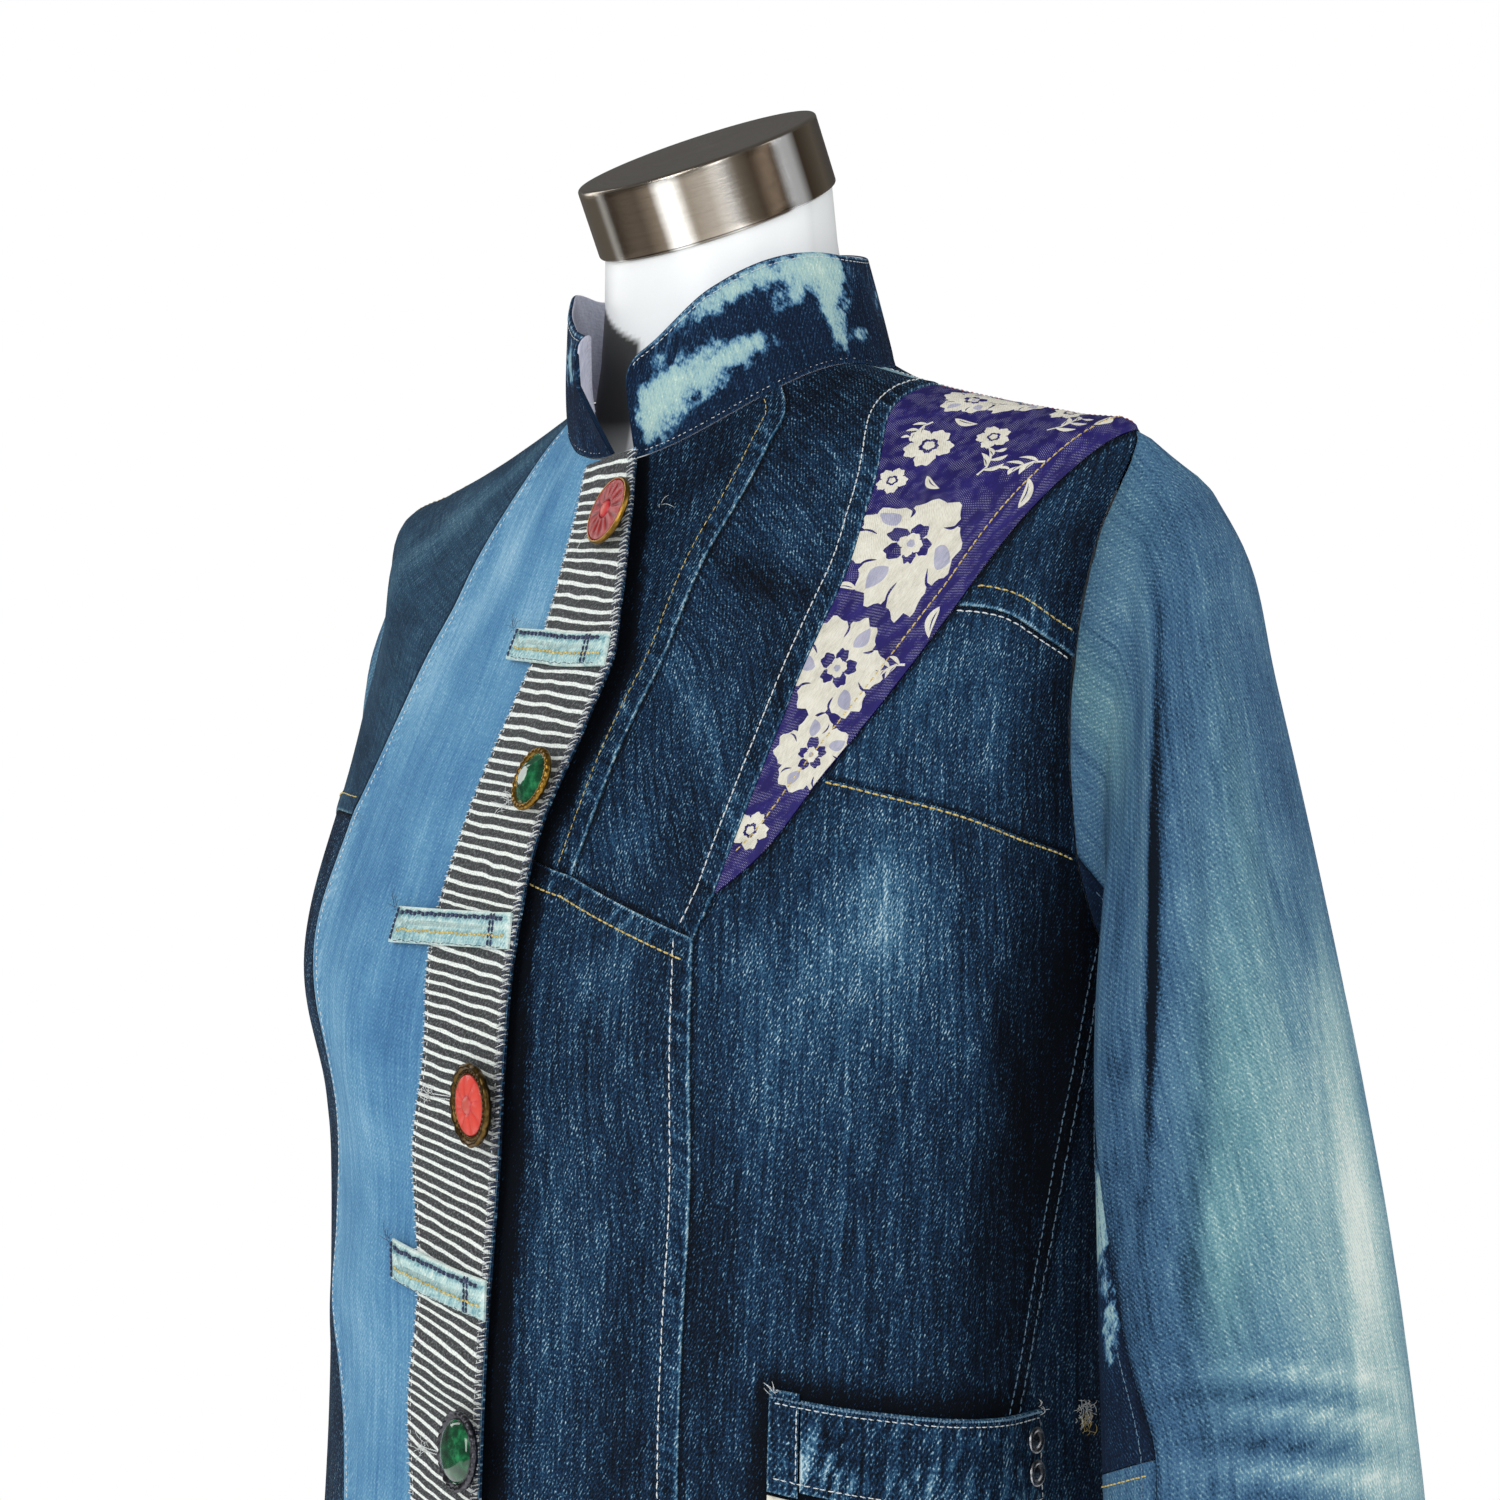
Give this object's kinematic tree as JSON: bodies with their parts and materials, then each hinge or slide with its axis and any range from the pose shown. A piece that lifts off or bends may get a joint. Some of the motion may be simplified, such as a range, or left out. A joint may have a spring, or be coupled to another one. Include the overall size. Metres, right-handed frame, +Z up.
{
  "type": "denim jacket on dress form",
  "caption": "Pieced patchwork denim jacket with stand collar, striped button strip and belt-loop tabs, worn on a limbless dress form on a round stand.",
  "frame": {"origin": "centre of the underside of the round base", "axes": "+Z up, the jacket's front faces -Y, and the wearer's left is +X"},
  "size_m": [0.5767, 0.3379, 1.5267],
  "materials": {
    "denim_indigo": "washed indigo denim twill",
    "denim_light": "light blue washed denim",
    "denim_sleeve": "faded denim, paler towards the outer side",
    "denim_bleached": "indigo denim with bleach splashes",
    "stripe_cotton": "charcoal and off-white striped cotton",
    "denim_aqua": "pale aqua denim",
    "floral_brocade": "violet ground with raised cream flowers",
    "cream_tape": "off-white woven tape",
    "button_red": "polished red with a metal rim",
    "button_green": "clear green cabochon with a metal rim",
    "rivet_pewter": "dark pewter",
    "form_white": "smooth white",
    "cap_nickel": "brushed",
    "stand_steel": "brushed"
  },
  "bodies": {
    "root": {"front_left_centre_upper": "denim_indigo", "front_left_side_upper": "denim_indigo", "front_left_centre_lower": "denim_indigo", "front_left_side_lower": "denim_indigo", "front_left_chest": "denim_indigo", "front_left_shoulder": "denim_indigo", "front_right_yoke": "denim_indigo", "front_right_side": "denim_indigo", "back_yoke": "denim_indigo", "back_left": "denim_indigo", "back_right": "denim_indigo", "pocket_end_loop": "denim_indigo", "pocket_band": "denim_indigo", "pocket_bag": "denim_indigo", "front_right_centre": "denim_light", "back_centre": "denim_light", "sleeve_left_upper": "denim_sleeve", "sleeve_right_upper": "denim_sleeve", "sleeve_left_under_low": "denim_sleeve", "collar": "denim_bleached", "sleeve_left_under": "denim_bleached", "sleeve_right_under": "denim_bleached", "back_shoulder_strip": "denim_bleached", "placket_stripe": "stripe_cotton", "tab_1": "denim_aqua", "tab_2": "denim_aqua", "tab_3": "denim_aqua", "tab_4": "denim_aqua", "applique_floral": "floral_brocade", "pocket_strip": "cream_tape", "button_1": "button_red", "button_3": "button_red", "button_5": "button_red", "button_2": "button_green", "button_4": "button_green", "pocket_rivet_1": "rivet_pewter", "pocket_rivet_2": "rivet_pewter", "form_torso": "form_white", "neck_cap": "cap_nickel", "stand_base": "stand_steel", "stand_hub": "stand_steel", "stand_pole": "stand_steel"}
  },
  "joints": []
}
